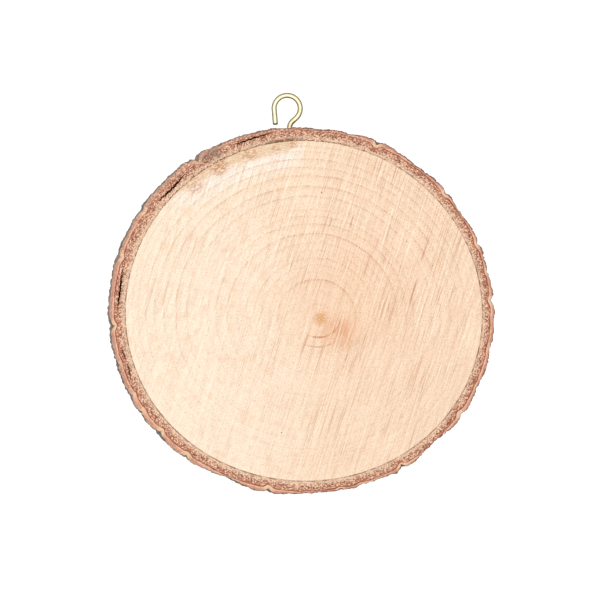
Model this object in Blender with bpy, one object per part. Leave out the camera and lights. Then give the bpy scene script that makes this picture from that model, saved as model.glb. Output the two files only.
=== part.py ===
"""A slice of an alder trunk in its bark, with the brass screw hook that it hangs from.

The slice lies on its sawn back face. +Z comes out of the front face, and +Y points at the hook.
The origin is the middle of the back face. Every size is in metres and every direction in degrees,
counted from +X towards +Y.
"""

import math

import bmesh
import bpy
from mathutils import Vector

MM = 0.001

# The slice: thickness, and the line of its skin, as a circle with a few broad waves.
THICKNESS = 12.0 * MM
SKIN_RADIUS = 75.2 * MM
SKIN_WAVES = (  # (waves round the trunk, height, direction of a crest)
    (1, 0.7 * MM, 255.0),
    (2, 1.8 * MM, 177.0),
    (3, 0.4 * MM, 98.0),
    (4, 0.2 * MM, 67.0),
)
STATIONS = 360  # points round the rim
LAYERS = 4  # bands of the rim between the two faces
FACET_ANGLE = 40.0  # edges sharper than this stay sharp
SAWN_NORMAL_Z = 0.9  # a face is sawn, not bark, if its normal has at least this much Z

# The saw went through the trunk at a slant: the front face sits a little to the right of the
# middle of the slice, and the back face as much to the left.
SAW_SLANT = 5.0
SAW_SLANT_DIRECTION = 166.0

# The bark has split into plates. At each split the plates' ends curl out by the lip, or are worn
# down where it is negative, and the skin drops by the notch.
LIP_REACH = 5.0
NOTCH_REACH = 1.5
SPLITS = (  # (direction, lip, notch)
    (2.5, 0.2 * MM, 1.1 * MM),
    (11.5, -0.4 * MM, 0.6 * MM),
    (20.5, 0.3 * MM, 0.9 * MM),
    (33.0, -0.8 * MM, 0.0 * MM),
    (39.0, 0.6 * MM, 1.1 * MM),
    (51.0, -0.2 * MM, 0.2 * MM),
    (65.5, 0.9 * MM, 1.3 * MM),
    (75.0, -0.3 * MM, 0.3 * MM),
    (84.0, -0.4 * MM, 0.4 * MM),
    (92.0, -0.3 * MM, 0.0 * MM),
    (117.0, 0.1 * MM, 0.3 * MM),
    (125.0, 0.6 * MM, 1.7 * MM),
    (149.5, 0.2 * MM, 0.6 * MM),
    (154.0, -0.3 * MM, 0.1 * MM),
    (165.5, 0.2 * MM, 0.8 * MM),
    (185.0, 0.3 * MM, 1.1 * MM),
    (196.5, 0.3 * MM, 0.5 * MM),
    (206.0, 0.3 * MM, 0.4 * MM),
    (212.5, 0.6 * MM, 0.6 * MM),
    (221.0, 0.1 * MM, 0.9 * MM),
    (231.5, 0.6 * MM, 0.7 * MM),
    (240.0, -0.2 * MM, 0.3 * MM),
    (246.0, -0.9 * MM, 0.2 * MM),
    (259.0, 0.9 * MM, 1.4 * MM),
    (282.0, 0.5 * MM, 0.5 * MM),
    (289.0, 0.6 * MM, 0.7 * MM),
    (302.5, 1.1 * MM, 1.4 * MM),
    (315.0, -1.0 * MM, 0.0 * MM),
    (326.5, 0.2 * MM, 0.9 * MM),
    (336.0, -0.3 * MM, 0.4 * MM),
    (348.0, -0.2 * MM, 0.7 * MM),
    (357.0, -0.2 * MM, 0.3 * MM),
)

# Between the two faces the plates bulge and dip a little.
RELIEF_HEIGHT = 0.30 * MM
RELIEF_WAVES = ((11, 1.0, 0.4), (23, 2.0, 2.1), (37, 3.0, 4.4))  # (round, through the slice, phase)

# Dry bark has come away from itself in long slits, open at the front face.
SLIT_DEPTH = 7.0 * MM
SLIT_POINTS = 9  # points along each side of a slit
SLITS = (  # (first direction, last direction, first radius, last radius, sag, width)
    (100.5, 112.0, 71.3 * MM, 70.8 * MM, 0.2 * MM, 0.5 * MM),
    (130.5, 143.5, 71.4 * MM, 71.7 * MM, 1.0 * MM, 0.7 * MM),
    (168.0, 179.0, 73.2 * MM, 73.4 * MM, 0.4 * MM, 0.6 * MM),
    (192.0, 196.2, 73.5 * MM, 73.8 * MM, 0.1 * MM, 0.4 * MM),
    (197.2, 202.2, 72.7 * MM, 73.7 * MM, 0.1 * MM, 0.4 * MM),
)

# The hook: brass wire bent into an open ring, with a screw thread rolled on its straight end.
WIRE_RADIUS = 1.05 * MM
RING_RADIUS = 5.25 * MM  # to the middle of the wire
RING_CENTRE = Vector((-5.6 * MM, 80.4 * MM, 0.5 * THICKNESS))
RING_LEFT = 180.0
RING_RIGHT = -47.0
LEG_LENGTH = 6.6 * MM
LEG_LEAN = 5.0  # the free leg leans in towards the shank
NECK_LENGTH = 2.1 * MM
NECK_BEND_RADIUS = 3.2 * MM
SHANK_END_Y = 59.0 * MM
THREAD_START_Y = 70.0 * MM
THREAD_PITCH = 0.9 * MM
THREAD_CORE_RADIUS = 0.75 * MM
THREAD_POINT_LENGTH = 3.2 * MM
THREAD_POINT_RADIUS = 0.12 * MM
THREAD_RIDGE_SHARE = 0.35  # half the ridge's foot, as a share of the pitch
POINTS_PER_TURN = 6
WIRE_END_ROUNDING = 0.3 * MM
LEG_POINTS = 3  # parts that the free leg is drawn in
RING_STEP = 8.0
NECK_STEP = 10.0

# The pilot hole keeps clear of the thread, because two solids that touch would overlap.
CLEARANCE = 0.3 * MM
HOLE_SIDES = 20
HOLE_RADIUS = WIRE_RADIUS + CLEARANCE
HOLE_END_Y = SHANK_END_Y - 1.5 * MM
HOLE_MOUTH_Y = SKIN_RADIUS + 3.0 * MM


def wave(count, angle, direction):
    return math.cos(count * math.radians(angle - direction))


def skin_radius(angle):
    """The distance from the middle of the slice to its skin, before the slant."""
    radius = SKIN_RADIUS
    for count, height, direction in SKIN_WAVES:
        radius += height * wave(count, angle, direction)
    for direction, lip, notch in SPLITS:
        away = abs((angle - direction + 180.0) % 360.0 - 180.0)
        radius += lip * math.exp(-((away / LIP_REACH) ** 2))
        radius -= notch * math.exp(-((away / NOTCH_REACH) ** 2))
    return radius


def bark_relief(angle, depth_share):
    """How far the rim stands out between the faces; nothing at the two sawn edges."""
    total = 0.0
    for count, through, phase in RELIEF_WAVES:
        total += math.sin(count * math.radians(angle) + through * math.pi * depth_share + phase)
    return RELIEF_HEIGHT * total / len(RELIEF_WAVES) * math.sin(math.pi * depth_share)


def slant_offset(height):
    """How far a level of the slice is shifted sideways by the slanting saw cut."""
    shift = (0.5 * THICKNESS - height) * math.tan(math.radians(SAW_SLANT))
    direction = math.radians(SAW_SLANT_DIRECTION)
    return Vector((math.cos(direction), math.sin(direction), 0.0)) * shift


def principled(name, colour, roughness, metallic):
    material = bpy.data.materials.new(name)
    material.use_nodes = True
    shader = material.node_tree.nodes["Principled BSDF"]
    shader.inputs["Base Color"].default_value = (*colour, 1.0)
    shader.inputs["Roughness"].default_value = roughness
    shader.inputs["Metallic"].default_value = metallic
    return material


def new_collection(name):
    collection = bpy.data.collections.new(name)
    bpy.context.scene.collection.children.link(collection)
    return collection


def object_from_bmesh(name, bm, collection):
    mesh = bpy.data.meshes.new(name)
    bm.to_mesh(mesh)
    bm.free()
    made = bpy.data.objects.new(name, mesh)
    collection.objects.link(made)
    return made


def mesh_from_curve(curve_object, collection):
    """Swaps a curve for its own evaluated mesh, with the caps welded on."""
    bpy.context.view_layer.update()
    graph = bpy.context.evaluated_depsgraph_get()
    mesh = bpy.data.meshes.new_from_object(curve_object.evaluated_get(graph))
    name = curve_object.name
    made = bpy.data.objects.new(name + "_mesh", mesh)
    made.matrix_world = curve_object.matrix_world
    collection.objects.link(made)
    bpy.data.objects.remove(curve_object)
    made.name = name
    bm = bmesh.new()
    bm.from_mesh(mesh)
    bmesh.ops.remove_doubles(bm, verts=bm.verts, dist=0.001 * MM)
    bmesh.ops.recalc_face_normals(bm, faces=bm.faces)
    bm.to_mesh(mesh)
    bm.free()
    return made


def poly_spline(curve, points, closed):
    spline = curve.splines.new("POLY")
    spline.points.add(len(points) - 1)
    for target, point in zip(spline.points, points):
        target.co = (*point, 1.0)
    spline.use_cyclic_u = closed
    return spline


def as_cutter(made):
    made.hide_render = True
    made.display_type = "WIRE"
    return made


def subtract(target, cutter):
    cut = target.modifiers.new("Cut " + cutter.name, "BOOLEAN")
    cut.operation = "DIFFERENCE"
    cut.object = cutter


def pilot_hole_cutter(collection):
    """A round hole from the rim inwards, for the hook's shank."""
    bm = bmesh.new()
    bmesh.ops.create_cone(
        bm,
        cap_ends=True,
        segments=HOLE_SIDES,
        radius1=HOLE_RADIUS,
        radius2=HOLE_RADIUS,
        depth=HOLE_MOUTH_Y - HOLE_END_Y,
    )
    hole = as_cutter(object_from_bmesh("pilot_hole", bm, collection))
    hole.location = (shank_x(), 0.5 * (HOLE_MOUTH_Y + HOLE_END_Y), RING_CENTRE.z)
    hole.rotation_euler = (math.radians(90.0), 0.0, 0.0)
    return hole


def slit_cutter(index, slit, collection):
    """A curved lens-shaped blade that follows the bark, pointed at both ends."""
    first, last, first_radius, last_radius, sag, width = slit
    inner_side, outer_side = [], []
    for step in range(SLIT_POINTS + 1):
        along = step / SLIT_POINTS
        angle = math.radians(first + (last - first) * along)
        radius = first_radius + (last_radius - first_radius) * along
        radius -= sag * math.sin(math.pi * along)
        half_width = 0.5 * width * math.sin(math.pi * along)
        direction = Vector((math.cos(angle), math.sin(angle), 0.0))
        inner_side.append(direction * (radius - half_width))
        if 0 < step < SLIT_POINTS:
            outer_side.append(direction * (radius + half_width))
    curve = bpy.data.curves.new(f"bark_slit_{index}", "CURVE")
    curve.dimensions = "2D"
    curve.fill_mode = "BOTH"
    curve.extrude = SLIT_DEPTH
    poly_spline(curve, inner_side + outer_side[::-1], closed=True)
    blade = bpy.data.objects.new(curve.name, curve)
    blade.location.z = THICKNESS
    collection.objects.link(blade)
    return as_cutter(mesh_from_curve(blade, collection))


def build_slice(parts, cutters):
    """A cylinder primitive cut into bands, then each point moved out to the skin line."""
    bm = bmesh.new()
    bmesh.ops.create_cone(
        bm, cap_ends=True, segments=STATIONS, radius1=1.0, radius2=1.0, depth=THICKNESS
    )
    bmesh.ops.translate(bm, verts=bm.verts, vec=(0.0, 0.0, 0.5 * THICKNESS))
    for layer in range(1, LAYERS):
        everything = bm.verts[:] + bm.edges[:] + bm.faces[:]
        level = (0.0, 0.0, THICKNESS * layer / LAYERS)
        bmesh.ops.bisect_plane(bm, geom=everything, plane_co=level, plane_no=(0.0, 0.0, 1.0))
    for vertex in bm.verts:
        angle = math.degrees(math.atan2(vertex.co.y, vertex.co.x))
        height = vertex.co.z
        reach = skin_radius(angle) + bark_relief(angle, height / THICKNESS)
        spoke = Vector((vertex.co.x, vertex.co.y, 0.0)).normalized()
        vertex.co = spoke * reach + slant_offset(height) + Vector((0.0, 0.0, height))
    slice_object = object_from_bmesh("wood_slice", bm, parts)
    mesh = slice_object.data
    mesh.materials.append(principled("Sawn alder", (0.87, 0.66, 0.45), 0.72, 0.0))
    mesh.materials.append(principled("Alder bark", (0.36, 0.13, 0.07), 0.85, 0.0))
    for polygon in mesh.polygons:
        polygon.material_index = 0 if abs(polygon.normal.z) > SAWN_NORMAL_Z else 1
    mesh.shade_smooth()
    mesh.set_sharp_from_angle(angle=math.radians(FACET_ANGLE))
    subtract(slice_object, pilot_hole_cutter(cutters))
    for index, slit in enumerate(SLITS, start=1):
        subtract(slice_object, slit_cutter(index, slit, cutters))
    return slice_object


def on_ring(centre, radius, angle):
    turned = math.radians(angle)
    return centre + Vector((math.cos(turned), math.sin(turned), 0.0)) * radius


def arc(centre, radius, first, last, step):
    """Points on an arc from first to last, both ends included, about step degrees apart."""
    count = max(1, round(abs(last - first) / step))
    return [on_ring(centre, radius, first + (last - first) * i / count) for i in range(count + 1)]


def neck_bend():
    """(start, centre) of the bend that turns the neck into the straight shank."""
    leaving = on_ring(RING_CENTRE, RING_RADIUS, RING_RIGHT)
    turned = math.radians(RING_RIGHT)
    heading = Vector((math.sin(turned), -math.cos(turned), 0.0))
    start = leaving + heading * NECK_LENGTH
    to_centre = Vector((-heading.y, heading.x, 0.0))
    return start, start + to_centre * NECK_BEND_RADIUS


def shank_x():
    return neck_bend()[1].x - NECK_BEND_RADIUS


def thread_radius(along, angle):
    """The radius of the screw at a distance below the thread's start and an angle round it."""
    length = THREAD_START_Y - SHANK_END_Y
    phase = (along / THREAD_PITCH + angle / (2.0 * math.pi)) % 1.0
    ridge = max(0.0, 1.0 - abs(phase - 0.5) / THREAD_RIDGE_SHARE)
    run_in = min(1.0, along / THREAD_PITCH)
    core = WIRE_RADIUS + (THREAD_CORE_RADIUS - WIRE_RADIUS) * run_in
    radius = core + (WIRE_RADIUS - core) * ridge
    taper = min(1.0, (length - along) / THREAD_POINT_LENGTH)
    return THREAD_POINT_RADIUS + (radius - THREAD_POINT_RADIUS) * math.sqrt(max(0.0, taper))


def hook_path():
    """The middle of the wire, from its free end round the ring and down the shank to the point."""
    lean = math.radians(LEG_LEAN)
    ring_start = on_ring(RING_CENTRE, RING_RADIUS, RING_LEFT)
    down_leg = Vector((math.sin(lean), -math.cos(lean), 0.0))
    leg_end = ring_start + down_leg * LEG_LENGTH
    path = [leg_end, leg_end - down_leg * WIRE_END_ROUNDING]
    for index in range(LEG_POINTS - 1, 0, -1):
        path.append(ring_start + down_leg * LEG_LENGTH * index / LEG_POINTS)
    path += arc(RING_CENTRE, RING_RADIUS, RING_LEFT, RING_RIGHT, RING_STEP)
    bend_centre = neck_bend()[1]
    path += arc(bend_centre, NECK_BEND_RADIUS, 180.0 + RING_RIGHT, 180.0, NECK_STEP)
    step = THREAD_PITCH / POINTS_PER_TURN
    count = round((THREAD_START_Y - SHANK_END_Y) / step)
    for index in range(count + 1):
        path.append(Vector((shank_x(), THREAD_START_Y - index * step, RING_CENTRE.z)))
    return path


def build_hook(parts):
    curve = bpy.data.curves.new("screw_hook", "CURVE")
    curve.dimensions = "3D"
    curve.bevel_depth = WIRE_RADIUS
    curve.bevel_resolution = 4
    curve.use_fill_caps = True
    wire = poly_spline(curve, hook_path(), closed=False)
    wire.points[0].radius = 1.0 - WIRE_END_ROUNDING / WIRE_RADIUS
    bent = bpy.data.objects.new("screw_hook", curve)
    parts.objects.link(bent)
    hook = mesh_from_curve(bent, parts)
    for vertex in hook.data.vertices:
        along = THREAD_START_Y - vertex.co.y
        if along < 0.0:
            continue
        out = Vector((vertex.co.x - shank_x(), 0.0, vertex.co.z - RING_CENTRE.z))
        angle = math.atan2(out.z, out.x)
        out = out.normalized() * thread_radius(along, angle)
        vertex.co.x = shank_x() + out.x
        vertex.co.z = RING_CENTRE.z + out.z
    hook.data.materials.append(principled("Brass", (0.80, 0.62, 0.28), 0.25, 1.0))
    hook.data.shade_smooth()
    hook.data.set_sharp_from_angle(angle=math.radians(FACET_ANGLE))
    return hook


def main():
    for leftover in list(bpy.data.objects):
        bpy.data.objects.remove(leftover)
    parts = new_collection("Wood slice with hook")
    cutters = new_collection("Cutters")
    cutters.hide_render = True
    build_slice(parts, cutters)
    build_hook(parts)


main()
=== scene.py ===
"""The finish of a sawn slice of alder trunk in its bark, and of the brass hook that it hangs from.

The slice lies on its sawn back face, +Z comes out of the front face and +Y points at the hook.
Every size is in metres, and every direction is in degrees from +X towards +Y.
"""

import math

import bmesh
import bpy
from bpy.props import FloatProperty, FloatVectorProperty, IntProperty, PointerProperty
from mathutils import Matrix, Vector


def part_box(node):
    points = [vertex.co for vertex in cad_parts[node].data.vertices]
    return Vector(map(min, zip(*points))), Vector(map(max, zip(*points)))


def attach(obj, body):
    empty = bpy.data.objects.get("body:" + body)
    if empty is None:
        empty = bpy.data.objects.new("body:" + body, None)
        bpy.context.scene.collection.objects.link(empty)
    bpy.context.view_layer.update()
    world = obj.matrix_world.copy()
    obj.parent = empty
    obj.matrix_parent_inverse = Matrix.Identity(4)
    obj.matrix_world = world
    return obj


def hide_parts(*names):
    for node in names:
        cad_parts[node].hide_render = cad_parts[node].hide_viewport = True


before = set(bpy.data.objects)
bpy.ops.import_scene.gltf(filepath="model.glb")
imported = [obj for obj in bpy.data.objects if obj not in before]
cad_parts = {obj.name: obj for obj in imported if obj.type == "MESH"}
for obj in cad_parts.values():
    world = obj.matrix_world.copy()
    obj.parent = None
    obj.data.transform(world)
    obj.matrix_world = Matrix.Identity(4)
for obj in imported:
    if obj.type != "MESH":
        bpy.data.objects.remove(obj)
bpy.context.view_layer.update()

bl_info = {
    "name": "Wood slice with hook",
    "version": (1, 0, 0),
    "blender": (4, 5, 0),
    "location": "3D View > Sidebar > Wood slice",
    "description": "Builds the wood, bark and hook of a sawn trunk slice round its packed frame",
    "category": "Object",
}

MM = 0.001
SLICE_LOW, SLICE_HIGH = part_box("wood_slice")
HOOK_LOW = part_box("screw_hook")[0]
BACK = SLICE_LOW.z
FRONT = SLICE_HIGH.z
THICKNESS = FRONT - BACK


def sized(columns, rows):
    """A table in which these columns are sizes in millimetres, as a table in metres."""
    return tuple(
        tuple(value * MM if column in columns else value for column, value in enumerate(row))
        for row in rows
    )


# Lines of the front face, each a circle with a few broad waves: (waves round, height, crest).
# Most of these numbers are rounded from least-squares fits to measured radii.
SKIN_RADIUS = 75.18 * MM
SKIN_WAVES = (
    (1, 0.7 * MM, 255.0),
    (2, 1.85 * MM, 177.0),
    (3, 0.4 * MM, 98.0),
    (4, 0.2 * MM, 67.0),
)
CORK_RADIUS = 73.8 * MM  # where the soft inner bark ends and the hard outer bark begins
CORK_WAVES = ((1, 0.98 * MM, 299.5), (2, 1.53 * MM, 174.4), (3, 0.25 * MM, 83.0))
WOOD_RADIUS = 69.6 * MM
WOOD_WAVES = ((1, 1.5 * MM, 317.0), (2, 1.64 * MM, 176.5), (3, 0.3 * MM, 90.0))
PITH = Vector((7.6 * MM, -3.8 * MM, 0.0))

# The trunk stood at a slant to the saw, so lower levels of the slice sit further to the left.
SAW_SLANT = 5.0
SAW_SLANT_DIRECTION = 166.0
SAW_MARKS_DIRECTION = 72.3

# Splits between the bark plates: (direction, lip of the plates' ends, depth of the notch).
# The lips and notches come from a least-squares fit to the rim. More than half of the rows were then
# changed.
LIP_REACH = 5.0
NOTCH_REACH = 1.3
CORK_NOTCH_SHARE = 0.55  # how much of a notch the inner line of the outer bark follows
DEEP_NOTCH = 1.0 * MM  # a notch at least this deep shows cream bark
SPLIT_WANDER = 1.6
SPLITS = sized((1, 2), (
    (2.7, 0.3, 1.6), (11.5, -0.3, 0.8), (20.5, 0.4, 1.3), (33.0, -0.8, 0.0), (39.0, 0.9, 1.6),
    (51.0, -0.2, 0.2), (65.7, 1.4, 2.3), (75.0, -0.3, 0.3), (84.0, -0.4, 0.4), (92.0, -0.3, 0.0),
    (117.0, 0.1, 0.3), (125.1, 1.1, 3.0), (148.3, 0.5, 1.3), (154.0, -0.3, 0.1), (164.0, 0.6, 1.6),
    (185.0, 0.6, 2.0), (196.5, 0.3, 0.5), (207.0, 0.4, 0.9), (212.5, 0.6, 0.9), (220.8, 0.5, 2.1),
    (231.5, 0.7, 1.5), (240.0, -0.2, 0.3), (246.0, -0.9, 0.2), (259.3, 1.3, 2.4), (282.0, 0.6, 1.0),
    (288.8, 0.6, 0.8), (302.5, 1.6, 2.6), (315.0, -1.0, 0.0), (326.5, 0.7, 1.8), (336.0, -0.3, 0.4),
    (348.0, -0.2, 0.7), (357.0, -0.2, 0.3),
))

# Slits where dry bark has come away from itself:
# (first direction, last direction, first radius, last radius, sag, width).
SLIT_BESIDE_CORK = 0.6 * MM  # between slits, their line runs this far inside the cork line
SLIT_DEPTH = 7.0 * MM
SLIT_FADE = 5.0  # degrees over which the slit line leaves the cork line
SLIT_JAG = 0.13 * MM
SLIT_JAG_PERIODS = (2.1, 0.9)  # degrees
SLITS = sized((2, 3, 4, 5), (
    (99.2, 112.8, 71.4, 70.8, 0.2, 0.6), (130.5, 143.5, 71.4, 71.7, 1.0, 0.9),
    (166.8, 180.2, 73.2, 73.4, 0.5, 0.85), (192.0, 196.2, 73.5, 73.8, 0.1, 0.4),
    (197.2, 202.2, 72.7, 73.7, 0.1, 0.4),
))

# The years, outwards: (share of the way from the pith to the bark, how dark the line is).
YEARS = (
    (0.030, 0.6), (0.085, 0.5), (0.150, 0.3), (0.222, 1.0), (0.265, 0.45), (0.304, 0.6),
    (0.343, 0.85), (0.385, 0.35), (0.430, 0.6), (0.480, 1.0), (0.538, 0.9), (0.580, 0.8),
    (0.616, 0.5), (0.650, 0.3), (0.690, 0.95), (0.746, 1.0), (0.808, 1.0), (0.854, 0.8),
    (0.900, 0.95), (0.942, 0.6), (0.972, 0.8),
)
# How plainly the year lines show, by direction from the pith.
YEARS_SHOW = (
    (0.0, 0.6), (25.0, 0.65), (40.0, 1.0), (100.0, 1.0), (125.0, 0.75), (160.0, 0.65),
    (180.0, 0.5), (205.0, 0.3), (270.0, 0.2), (320.0, 0.55), (360.0, 0.6),
)
# Dark arcs beside the pith: (share of the way out, half width, direction, reach, strength).
DARK_ARCS = (
    (0.117, 0.0075, 284.0, 58.0, 1.0), (0.124, 0.005, 334.0, 30.0, 0.8),
    (0.176, 0.006, 272.0, 44.0, 0.7), (0.222, 0.006, 62.0, 60.0, 0.3), (0.480, 0.005, 60.0, 50.0, 0.4),
)
# Width of the ochre stain under the bark, by direction.
STAIN_WIDTHS = sized((1,), (
    (88.0, 0.0), (94.0, 3.9), (101.0, 4.9), (112.0, 4.3), (124.0, 3.9), (134.0, 1.8),
    (142.0, 0.4), (146.0, 0.0),
))
STAIN_SCALE = 10.0 * MM
STAINED_BARK = 110.0  # the stain darkens the bark round this direction
STAINED_BARK_REACH = 58.0
# Single dark saw marks: (x, y, length, strength).
LONG_MARKS = sized((0, 1, 2), (
    (49.6, 24.0, 14.0, 0.8), (15.2, -8.2, 10.5, 0.8), (18.0, -19.4, 4.5, 0.7),
    (11.8, 34.7, 4.5, 0.7), (20.3, 35.1, 7.0, 0.7), (30.3, 26.4, 6.5, 0.6), (33.5, 20.7, 7.5, 0.6),
    (26.1, 17.0, 12.0, 0.5), (44.6, 6.1, 15.0, 0.8), (45.7, 4.6, 11.0, 0.5),
))
LONG_MARK_WIDTH = 0.55 * MM
# Tiny dark specks on the wood: (x, y, radius).
SPECKS = sized((0, 1, 2), (
    (8.2, 46.6, 0.30), (42.3, 27.0, 0.26), (52.6, 17.4, 0.24), (-7.8, -49.4, 0.28),
))
# Where smudges gather, brown on the stain, dark and grey on the bark: (x, y, radius, strength).
BROWN_SMUDGES = sized((0, 1, 2), (
    (-32.7, 56.9, 3.6, 1.0), (-20.5, 62.2, 3.0, 0.7), (-10.2, 63.9, 1.6, 0.7),
    (-3.4, 65.7, 1.6, 0.7), (-42.5, 49.5, 3.4, 0.7),
))
DARK_SMUDGES = sized((0, 1, 2), (
    (-12.0, 66.9, 1.8, 0.8), (-8.9, 67.6, 2.2, 1.0), (-4.6, 68.2, 2.2, 1.0), (-0.6, 68.6, 1.8, 0.8),
))
GREY_SMUDGES = sized((0, 1, 2), ((-35.0, 62.4, 2.8, 0.7), (-38.5, 60.3, 2.0, 0.5)))

# The hook's wire, from its free leg round the open ring and down its neck into the rim.
RING_CENTRE = Vector((-5.6 * MM, 80.4 * MM, BACK + 0.5 * THICKNESS))
RING_LEFT = 180.0
RING_RIGHT = -47.0
LEG_LEAN = 5.0
NECK_LENGTH = 2.1 * MM
NECK_BEND_RADIUS = 3.2 * MM
HOOK_ENTRY = Vector((-4.6 * MM, 72.4 * MM, RING_CENTRE.z))
THREAD_START_Y = 70.0 * MM
THREAD_CORE_SHARE = 0.72
THREAD_POINT_LENGTH = 3.2 * MM
WIRE_SIDES = 28

# How finely the wood and the bark are divided: round the rim, and in rows across each surface.
WOOD_STATIONS = 512
WOOD_RINGS = 60
BARK_STATIONS = 1280
INNER_ROWS = 11
OUTER_ROWS = 8
SIDE_ROWS = 26
BACK_ROWS = 9
WOOD_EDGE = 0.08 * MM  # the sawn edge of the wood is broken by this much
SHARP_ANGLE = 40.0  # the wood is smooth-shaded over edges blunter than this
EDGE_ROUNDING = 0.18 * MM  # of the skin at both faces
SKIN_FADE = 1.2 * MM  # the skin's relief fades out this far in from the rim

# The middle of the wood's warm part, and two spots as (x, y, radius, softness).
WARM_MIDDLE = (19.0 * MM, 2.0 * MM, 0.0)
BLUSH_SPOT = (PITH.x + 7.5 * MM, PITH.y - 5.5 * MM, 5.5 * MM, 0.9)
PITH_SPOT = (PITH.x + 0.2 * MM, PITH.y, 2.3 * MM, 0.9)
# How much dark grain dims red, green and blue: it is warmer than the rest.
DIM_PARTS = (0.75, 1.0, 1.15)

# The stage: the middle of the view, the floor, and where the two lights stand.
VIEW_CENTRE = (-0.45 * MM, 3.6 * MM)
FLOOR_GAP = 0.05 * MM
FLOOR_HALF = 2.0
OVERHEAD_PLACE = (0.0, 0.0, 1.6)
OVERHEAD_SIZE = 2.4
SIDE_PLACE = (-1.1, 0.9, 0.9)
SIDE_SIZE = 1.0


def paint(red, green, blue):
    """A screen colour of 0 to 255 as the linear colour that shaders take."""
    linear = []
    for part in (red, green, blue):
        share = part / 255.0
        linear.append(share / 12.92 if share <= 0.04045 else ((share + 0.055) / 1.055) ** 2.4)
    return tuple(linear)


def colour_setting(name, description, red, green, blue):
    return FloatVectorProperty(
        name=name,
        description=description,
        subtype="COLOR",
        size=3,
        min=0.0,
        max=1.0,
        default=paint(red, green, blue),
    )


def length_setting(name, description, default):
    return FloatProperty(
        name=name, description=description, default=default, min=0.0, unit="LENGTH", precision=5
    )


def share_setting(name, description, default):
    return FloatProperty(name=name, description=description, default=default, min=0.0)


class WoodSettings(bpy.types.PropertyGroup):
    """Sizes and colours of the sawn wood."""

    mark_spacing: length_setting("Saw mark spacing", "Distance between the broad saw marks", 1.1 * MM)
    mark_strength: share_setting("Saw mark strength", "How plainly the saw marks show", 1.0)
    year_strength: share_setting("Year strength", "How plainly the year lines show", 1.0)
    grit_size: length_setting("Grit size", "Size of the wood's open pores", 0.55 * MM)
    sapwood: colour_setting("Sapwood", "Pale wood on the left", 237, 218, 195)
    heartwood: colour_setting("Heartwood", "Warmer wood on the right", 233, 204, 177)
    middle: colour_setting("Middle", "Warm wood round the pith", 231, 194, 164)
    mark_tan: colour_setting("Saw mark", "Dark saw marks", 196, 150, 112)
    # The pale saw mark colour is a painted highlight along the saw marks.
    mark_highlight: colour_setting("Pale saw mark", "Highlit, pale saw marks", 245, 228, 205)
    year_tan: colour_setting("Year line", "The line that ends a year's growth", 204, 158, 120)
    pith: colour_setting("Pith", "The spot in the middle of the rings", 206, 148, 90)
    blush: colour_setting("Blush", "Reddish wood beside the pith", 218, 160, 120)
    stain: colour_setting("Stain", "Ochre stain under the bark", 216, 182, 142)
    smudge: colour_setting("Smudge", "Brown smudges on the stain", 184, 120, 78)
    bleached: colour_setting("Bleached wood", "Whitish wood inside the stain", 237, 226, 213)
    greyed: colour_setting("Greyed wood", "Grey flecks in the whitish wood", 180, 176, 170)
    speck: colour_setting("Speck", "Tiny dark specks", 110, 88, 70)


class BarkSettings(bpy.types.PropertyGroup):
    """Sizes and colours of the bark."""

    plate_bulge: length_setting("Plate bulge", "How far the plates swell between the faces", 0.45 * MM)
    crack_depth: length_setting("Crack depth", "Depth of the small cracks in the plates", 0.5 * MM)
    scale_height: length_setting("Scale height", "Height of the fine scales of the skin", 0.5 * MM)
    scallop: length_setting("Scallop", "Unevenness of the sawn edge of the skin", 0.7 * MM)
    cut_grain: length_setting("Cut grain", "Roughness of the sawn inner bark", 0.07 * MM)
    grain_size: length_setting("Grain size", "Size of the grains of the inner bark", 0.56 * MM)
    seed: share_setting("Seed", "Another seed gives the bark other cracks and scales", 3.0)
    inner_pale: colour_setting("Inner bark, pale", "Cream grains of the inner bark", 230, 195, 166)
    inner_tan: colour_setting("Inner bark, tan", "Orange-tan grains further out", 232, 174, 142)
    inner_brown: colour_setting("Inner bark, brown", "Brown grains of the inner bark", 136, 84, 60)
    rust: colour_setting("Rust", "Red-brown band of the inner bark", 188, 118, 90)
    line: colour_setting("Line", "Dark line between inner and outer bark", 122, 64, 44)
    seam: colour_setting("Seam", "Line between the wood and the bark", 116, 76, 52)
    rind: colour_setting("Rind", "Pale line inside the outer bark", 228, 182, 154)
    outer: colour_setting("Outer bark", "Salmon sawn outer bark", 220, 160, 134)
    outer_red: colour_setting("Outer bark, red", "Darker outer bark near the skin", 184, 126, 102)
    split: colour_setting("Split", "Cream bark at the splits", 228, 192, 156)
    cork: colour_setting("Cork skin", "Grey-brown skin of the bark", 172, 146, 130)
    cork_dark: colour_setting("Dark cork", "Darker places of the skin", 150, 128, 110)
    crack: colour_setting("Crack", "Small cracks in the skin", 84, 62, 50)
    fleck: colour_setting("Fleck", "Dark flecks of the skin", 92, 76, 64)
    wart: colour_setting("Wart", "Pale corky warts on the skin", 168, 142, 118)
    rubbed: colour_setting("Rubbed skin", "Red-brown skin where the bark was rubbed", 130, 84, 68)
    lichen: colour_setting("Lichen", "Grey-green film on the skin", 142, 142, 126)
    grey: colour_setting("Grey", "Grey smudges on the sawn bark", 112, 96, 84)


class LenticelSettings(bpy.types.PropertyGroup):
    """The corky warts on the skin of the bark."""

    per_square_cm: share_setting("Lenticels", "Warts to the square centimetre", 7.0)
    length: length_setting("Length", "Length of a wart along the rim", 0.85 * MM)
    seed: IntProperty(name="Seed", description="Another seed scatters them anew", default=4)


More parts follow.
